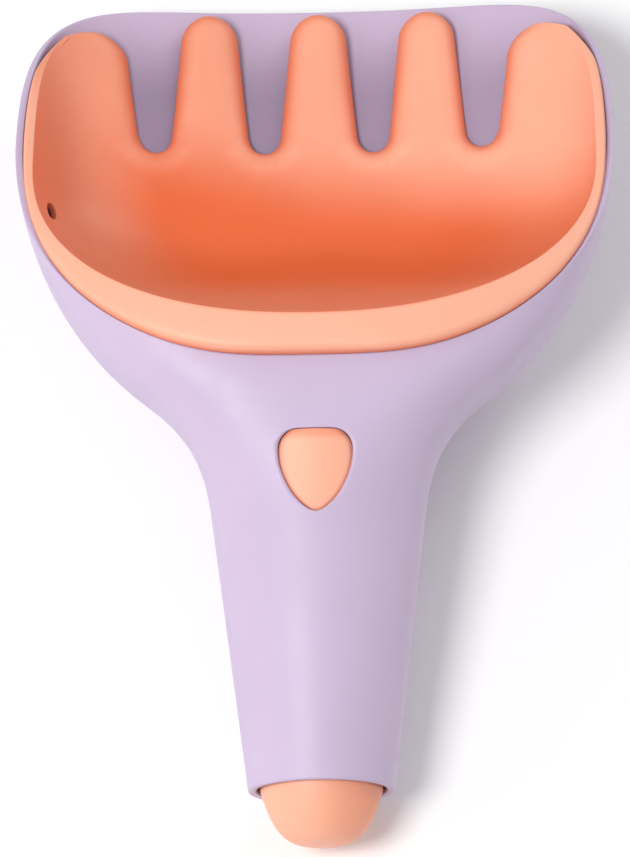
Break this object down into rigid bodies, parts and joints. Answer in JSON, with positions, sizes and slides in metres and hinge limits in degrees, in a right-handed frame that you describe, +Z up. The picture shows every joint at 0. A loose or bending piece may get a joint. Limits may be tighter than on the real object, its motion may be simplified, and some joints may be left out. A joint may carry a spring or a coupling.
{
  "type": "sand rake",
  "caption": "Toy sand rake with a bowl-shaped comb head, nested in a matching shovel scoop; it slides out along the hollow handle when the thumb button is pressed.",
  "frame": {"origin": "centre of the bounding box in X and Y, on the ground plane under the scoop's round back and the end of the sleeve", "axes": "+Y along the handle towards the tines, +X to the right when looking that way, +Z up"},
  "size_m": [0.1446, 0.224, 0.0616],
  "materials": {
    "lilac_plastic": "satin injection-moulded plastic",
    "coral_plastic": "satin injection-moulded plastic"
  },
  "bodies": {
    "shovel": {"shovel": "lilac_plastic"},
    "rake": {"rake_head": "coral_plastic", "rake_stem": "coral_plastic", "stem_tip": "coral_plastic"},
    "latch": {"latch_button": "coral_plastic"}
  },
  "joints": [
    {"name": "rake_slide", "type": "slide", "parent": "shovel", "child": "rake", "axis": [0, 0.9839, 0.1789], "range_m": [0, 0.24]},
    {"name": "latch_press", "type": "hinge", "parent": "rake", "child": "latch", "pos_m": [0, -0.06412, 0.03678], "axis": [-1, 0, 0], "range_deg": [0, 4.3], "stiffness_Nm_per_rad": 4.8}
  ]
}
